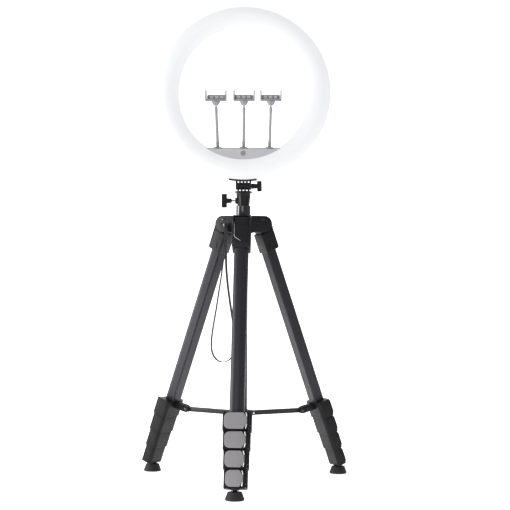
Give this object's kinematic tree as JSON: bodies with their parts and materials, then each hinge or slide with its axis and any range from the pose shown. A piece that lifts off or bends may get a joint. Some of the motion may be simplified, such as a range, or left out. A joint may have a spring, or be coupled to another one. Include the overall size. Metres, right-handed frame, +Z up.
{
  "type": "ring light",
  "caption": "Ring light with a crescent control panel and three phone arms, tilting on a folding tripod with telescopic flip-lock legs and mid-level braces.",
  "frame": {"origin": "on the ground, under the middle of the box of the light without its strap", "axes": "+Z up along the tripod column, -Y is the side the light shines to, +X to the right seen from that side"},
  "size_m": [0.4402, 0.3916, 0.9802],
  "materials": {
    "white_housing": "satin white moulded plastic",
    "opal_diffuser": "opal acrylic, milky",
    "led_board": "white solder-masked board",
    "panel_grey": "fine matt light grey",
    "button_grey": "satin grey",
    "black_plastic": "fine textured black nylon",
    "black_metal": "satin black powder coat",
    "black_anodised_tube": "black anodised aluminium, drawn along its length",
    "lever_grey": "satin warm grey nylon",
    "rubber_foot": "matt rubber",
    "webbing": "woven nylon webbing"
  },
  "bodies": {
    "spider": {"spider": "black_plastic", "guide_tube": "black_anodised_tube", "carry_strap": "webbing"},
    "brace_hub": {"brace_hub": "black_metal"},
    "front_leg": {"front_leg_socket": "black_plastic", "front_leg_section_1": "black_anodised_tube"},
    "front_lock_lever_1": {"front_lock_lever_1": "lever_grey"},
    "front_leg_section_2": {"front_leg_section_2": "black_anodised_tube"},
    "front_lock_lever_2": {"front_lock_lever_2": "lever_grey"},
    "front_leg_section_3": {"front_leg_section_3": "black_anodised_tube"},
    "front_lock_lever_3": {"front_lock_lever_3": "lever_grey"},
    "front_leg_section_4": {"front_leg_section_4": "black_anodised_tube"},
    "front_lock_lever_4": {"front_lock_lever_4": "lever_grey"},
    "front_leg_section_5": {"front_leg_section_5": "black_anodised_tube"},
    "front_foot": {"front_foot": "rubber_foot"},
    "front_brace_arm": {"front_brace_arm": "black_metal"},
    "right_leg": {"right_leg_socket": "black_plastic", "right_leg_section_1": "black_anodised_tube"},
    "right_lock_lever_1": {"right_lock_lever_1": "lever_grey"},
    "right_leg_section_2": {"right_leg_section_2": "black_anodised_tube"},
    "right_lock_lever_2": {"right_lock_lever_2": "lever_grey"},
    "right_leg_section_3": {"right_leg_section_3": "black_anodised_tube"},
    "right_lock_lever_3": {"right_lock_lever_3": "lever_grey"},
    "right_leg_section_4": {"right_leg_section_4": "black_anodised_tube"},
    "right_lock_lever_4": {"right_lock_lever_4": "lever_grey"},
    "right_leg_section_5": {"right_leg_section_5": "black_anodised_tube"},
    "right_foot": {"right_foot": "rubber_foot"},
    "right_brace_arm": {"right_brace_arm": "black_metal"},
    "left_leg": {"left_leg_socket": "black_plastic", "left_leg_section_1": "black_anodised_tube"},
    "left_lock_lever_1": {"left_lock_lever_1": "lever_grey"},
    "left_leg_section_2": {"left_leg_section_2": "black_anodised_tube"},
    "left_lock_lever_2": {"left_lock_lever_2": "lever_grey"},
    "left_leg_section_3": {"left_leg_section_3": "black_anodised_tube"},
    "left_lock_lever_3": {"left_lock_lever_3": "lever_grey"},
    "left_leg_section_4": {"left_leg_section_4": "black_anodised_tube"},
    "left_lock_lever_4": {"left_lock_lever_4": "lever_grey"},
    "left_leg_section_5": {"left_leg_section_5": "black_anodised_tube"},
    "left_foot": {"left_foot": "rubber_foot"},
    "left_brace_arm": {"left_brace_arm": "black_metal"},
    "center_column": {"center_column": "black_anodised_tube"},
    "column_lock_knob": {"column_lock_knob": "black_plastic"},
    "adapter_socket": {"adapter_socket": "black_plastic"},
    "adapter_knob": {"adapter_knob": "black_plastic"},
    "tilt_knob": {"tilt_knob": "black_plastic"},
    "ring_head": {"ring_rear_housing": "white_housing", "ring_diffuser": "opal_diffuser", "led_board": "led_board", "control_panel": "panel_grey", "saddle_bracket": "black_metal"},
    "power_button": {"power_button": "button_grey"},
    "left_phone_arm": {"left_phone_arm": "panel_grey"},
    "left_clip_body": {"left_clip_body": "panel_grey"},
    "left_clip_jaw": {"left_clip_jaw": "panel_grey"},
    "centre_phone_arm": {"centre_phone_arm": "panel_grey"},
    "centre_clip_body": {"centre_clip_body": "panel_grey"},
    "centre_clip_jaw": {"centre_clip_jaw": "panel_grey"},
    "right_phone_arm": {"right_phone_arm": "panel_grey"},
    "right_clip_body": {"right_clip_body": "panel_grey"},
    "right_clip_jaw": {"right_clip_jaw": "panel_grey"}
  },
  "joints": [
    {"name": "front_leg_spread", "type": "hinge", "parent": "spider", "child": "front_leg", "pos_m": [0.00162, 0.01259, 0.5302], "axis": [1, 0, 0], "range_deg": [0, 16.5]},
    {"name": "front_lever_1_flip", "type": "hinge", "parent": "front_leg", "child": "front_lock_lever_1", "pos_m": [0.02802, -0.14707, 0.14727], "axis": [0, 0.3476, 0.9376], "range_deg": [0, 100]},
    {"name": "front_section_2_slide", "type": "slide", "parent": "front_leg", "child": "front_leg_section_2", "axis": [0, -0.3476, -0.9376], "range_m": [0, 0.29]},
    {"name": "front_lever_2_flip", "type": "hinge", "parent": "front_leg_section_2", "child": "front_lock_lever_2", "pos_m": [0.02632, -0.15849, 0.11215], "axis": [0, 0.3476, 0.9376], "range_deg": [0, 100]},
    {"name": "front_section_3_slide", "type": "slide", "parent": "front_leg_section_2", "child": "front_leg_section_3", "axis": [0, -0.3476, -0.9376], "range_m": [0, 0.29]},
    {"name": "front_lever_3_flip", "type": "hinge", "parent": "front_leg_section_3", "child": "front_lock_lever_3", "pos_m": [0.02462, -0.16991, 0.07703], "axis": [0, 0.3476, 0.9376], "range_deg": [0, 100]},
    {"name": "front_section_4_slide", "type": "slide", "parent": "front_leg_section_3", "child": "front_leg_section_4", "axis": [0, -0.3476, -0.9376], "range_m": [0, 0.29]},
    {"name": "front_lever_4_flip", "type": "hinge", "parent": "front_leg_section_4", "child": "front_lock_lever_4", "pos_m": [0.02282, -0.18133, 0.04191], "axis": [0, 0.3476, 0.9376], "range_deg": [0, 100]},
    {"name": "front_section_5_slide", "type": "slide", "parent": "front_leg_section_4", "child": "front_leg_section_5", "axis": [0, -0.3476, -0.9376], "range_m": [0, 0.29]},
    {"name": "front_foot_tilt", "type": "hinge", "parent": "front_leg_section_5", "child": "front_foot", "pos_m": [0.00162, -0.17731, 0.011], "axis": [1, 0, 0], "range_deg": [-20, 6]},
    {"name": "right_leg_spread", "type": "hinge", "parent": "spider", "child": "right_leg", "pos_m": [0.0373, 0.07439, 0.5302], "axis": [-0.5, 0.866, 0], "range_deg": [0, 16.5]},
    {"name": "right_lever_1_flip", "type": "hinge", "parent": "right_leg", "child": "right_lock_lever_1", "pos_m": [0.16237, 0.17708, 0.14727], "axis": [-0.301, -0.1738, 0.9376], "range_deg": [0, 100]},
    {"name": "right_section_2_slide", "type": "slide", "parent": "right_leg", "child": "right_leg_section_2", "axis": [0.301, 0.1738, -0.9376], "range_m": [0, 0.29]},
    {"name": "right_lever_2_flip", "type": "hinge", "parent": "right_leg_section_2", "child": "right_lock_lever_2", "pos_m": [0.17311, 0.18132, 0.11215], "axis": [-0.301, -0.1738, 0.9376], "range_deg": [0, 100]},
    {"name": "right_section_3_slide", "type": "slide", "parent": "right_leg_section_2", "child": "right_leg_section_3", "axis": [0.301, 0.1738, -0.9376], "range_m": [0, 0.29]},
    {"name": "right_lever_3_flip", "type": "hinge", "parent": "right_leg_section_3", "child": "right_lock_lever_3", "pos_m": [0.18385, 0.18556, 0.07703], "axis": [-0.301, -0.1738, 0.9376], "range_deg": [0, 100]},
    {"name": "right_section_4_slide", "type": "slide", "parent": "right_leg_section_3", "child": "right_leg_section_4", "axis": [0.301, 0.1738, -0.9376], "range_m": [0, 0.29]},
    {"name": "right_lever_4_flip", "type": "hinge", "parent": "right_leg_section_4", "child": "right_lock_lever_4", "pos_m": [0.19464, 0.18971, 0.04191], "axis": [-0.301, -0.1738, 0.9376], "range_deg": [0, 100]},
    {"name": "right_section_5_slide", "type": "slide", "parent": "right_leg_section_4", "child": "right_leg_section_5", "axis": [0.301, 0.1738, -0.9376], "range_m": [0, 0.29]},
    {"name": "right_foot_tilt", "type": "hinge", "parent": "right_leg_section_5", "child": "right_foot", "pos_m": [0.20176, 0.16934, 0.011], "axis": [-0.5, 0.866, 0], "range_deg": [-20, 6]},
    {"name": "left_leg_spread", "type": "hinge", "parent": "spider", "child": "left_leg", "pos_m": [-0.03406, 0.07439, 0.5302], "axis": [-0.5, -0.866, 0], "range_deg": [0, 16.5]},
    {"name": "left_lever_1_flip", "type": "hinge", "parent": "left_leg", "child": "left_lock_lever_1", "pos_m": [-0.18553, 0.13136, 0.14727], "axis": [0.301, -0.1738, 0.9376], "range_deg": [0, 100]},
    {"name": "left_section_2_slide", "type": "slide", "parent": "left_leg", "child": "left_leg_section_2", "axis": [-0.301, 0.1738, -0.9376], "range_m": [0, 0.29]},
    {"name": "left_lever_2_flip", "type": "hinge", "parent": "left_leg_section_2", "child": "left_lock_lever_2", "pos_m": [-0.19457, 0.13854, 0.11215], "axis": [0.301, -0.1738, 0.9376], "range_deg": [0, 100]},
    {"name": "left_section_3_slide", "type": "slide", "parent": "left_leg_section_2", "child": "left_leg_section_3", "axis": [-0.301, 0.1738, -0.9376], "range_m": [0, 0.29]},
    {"name": "left_lever_3_flip", "type": "hinge", "parent": "left_leg_section_3", "child": "left_lock_lever_3", "pos_m": [-0.20361, 0.14572, 0.07703], "axis": [0.301, -0.1738, 0.9376], "range_deg": [0, 100]},
    {"name": "left_section_4_slide", "type": "slide", "parent": "left_leg_section_3", "child": "left_leg_section_4", "axis": [-0.301, 0.1738, -0.9376], "range_m": [0, 0.29]},
    {"name": "left_lever_4_flip", "type": "hinge", "parent": "left_leg_section_4", "child": "left_lock_lever_4", "pos_m": [-0.2126, 0.15299, 0.04191], "axis": [0.301, -0.1738, 0.9376], "range_deg": [0, 100]},
    {"name": "left_section_5_slide", "type": "slide", "parent": "left_leg_section_4", "child": "left_leg_section_5", "axis": [-0.301, 0.1738, -0.9376], "range_m": [0, 0.29]},
    {"name": "left_foot_tilt", "type": "hinge", "parent": "left_leg_section_5", "child": "left_foot", "pos_m": [-0.19852, 0.16934, 0.011], "axis": [-0.5, -0.866, 0], "range_deg": [-20, 6]},
    {"name": "brace_hub_slide", "type": "slide", "parent": "spider", "child": "brace_hub", "axis": [0, 0, 1], "range_m": [0, 0.1035]},
    {"name": "front_brace_arm_fold", "type": "hinge", "parent": "brace_hub", "child": "front_brace_arm", "pos_m": [0.00162, 0.02979, 0.139], "axis": [1, 0, 0], "range_deg": [0, 90]},
    {"name": "right_brace_arm_fold", "type": "hinge", "parent": "brace_hub", "child": "right_brace_arm", "pos_m": [0.02241, 0.06579, 0.139], "axis": [-0.5, 0.866, 0], "range_deg": [0, 90]},
    {"name": "left_brace_arm_fold", "type": "hinge", "parent": "brace_hub", "child": "left_brace_arm", "pos_m": [-0.01916, 0.06579, 0.139], "axis": [-0.5, -0.866, 0], "range_deg": [0, 90]},
    {"name": "column_slide", "type": "slide", "parent": "spider", "child": "center_column", "axis": [0, 0, 1], "range_m": [0, 0.25]},
    {"name": "column_lock_turn", "type": "hinge", "parent": "spider", "child": "column_lock_knob", "pos_m": [0.00162, 0.09179, 0.529], "axis": [0, 1, 0], "continuous": true},
    {"name": "head_pan", "type": "hinge", "parent": "center_column", "child": "adapter_socket", "pos_m": [0.00162, 0.05379, 0.58], "axis": [0, 0, 1], "range_deg": [-180, 180]},
    {"name": "adapter_knob_turn", "type": "hinge", "parent": "adapter_socket", "child": "adapter_knob", "pos_m": [-0.03238, 0.05379, 0.5782], "axis": [-1, 0, 0], "continuous": true},
    {"name": "tilt_knob_turn", "type": "hinge", "parent": "adapter_socket", "child": "tilt_knob", "pos_m": [0.03162, 0.05379, 0.6084], "axis": [1, 0, 0], "continuous": true},
    {"name": "head_tilt", "type": "hinge", "parent": "adapter_socket", "child": "ring_head", "pos_m": [0.00162, 0.05379, 0.6084], "axis": [1, 0, 0], "range_deg": [-60, 60]},
    {"name": "power_button_press", "type": "slide", "parent": "ring_head", "child": "power_button", "axis": [0, 1, 0], "range_m": [0, 0.0005], "stiffness_N_per_m": 400},
    {"name": "left_arm_tilt", "type": "hinge", "parent": "ring_head", "child": "left_phone_arm", "pos_m": [-0.05188, 0.05079, 0.6918], "axis": [1, 0, 0], "range_deg": [-35, 35]},
    {"name": "left_clip_tilt", "type": "hinge", "parent": "left_phone_arm", "child": "left_clip_body", "pos_m": [-0.05635, 0.05079, 0.77708], "axis": [1, 0, 0], "range_deg": [-35, 35]},
    {"name": "left_jaw_slide", "type": "slide", "parent": "left_clip_body", "child": "left_clip_jaw", "axis": [-1, 0, 0], "range_m": [0, 0.032], "stiffness_N_per_m": 60},
    {"name": "centre_arm_tilt", "type": "hinge", "parent": "ring_head", "child": "centre_phone_arm", "pos_m": [0.00162, 0.05079, 0.6918], "axis": [1, 0, 0], "range_deg": [-35, 35]},
    {"name": "centre_clip_tilt", "type": "hinge", "parent": "centre_phone_arm", "child": "centre_clip_body", "pos_m": [0.00192, 0.05079, 0.7772], "axis": [1, 0, 0], "range_deg": [-35, 35]},
    {"name": "centre_jaw_slide", "type": "slide", "parent": "centre_clip_body", "child": "centre_clip_jaw", "axis": [1, 0, 0], "range_m": [0, 0.008], "stiffness_N_per_m": 60},
    {"name": "right_arm_tilt", "type": "hinge", "parent": "ring_head", "child": "right_phone_arm", "pos_m": [0.05512, 0.05079, 0.6918], "axis": [1, 0, 0], "range_deg": [-35, 35]},
    {"name": "right_clip_tilt", "type": "hinge", "parent": "right_phone_arm", "child": "right_clip_body", "pos_m": [0.05765, 0.05079, 0.77716], "axis": [1, 0, 0], "range_deg": [-35, 35]},
    {"name": "right_jaw_slide", "type": "slide", "parent": "right_clip_body", "child": "right_clip_jaw", "axis": [1, 0, 0], "range_m": [0, 0.032], "stiffness_N_per_m": 60}
  ],
  "couplings": [
    {"joint": "right_leg_spread", "follows": "front_leg_spread", "ratio": 1},
    {"joint": "left_leg_spread", "follows": "front_leg_spread", "ratio": 1},
    {"joint": "brace_hub_slide", "follows": "front_leg_spread", "m_per_rad": 0.35836},
    {"joint": "front_brace_arm_fold", "follows": "front_leg_spread", "ratio": 5.436},
    {"joint": "right_brace_arm_fold", "follows": "front_leg_spread", "ratio": 5.436},
    {"joint": "left_brace_arm_fold", "follows": "front_leg_spread", "ratio": 5.436}
  ]
}
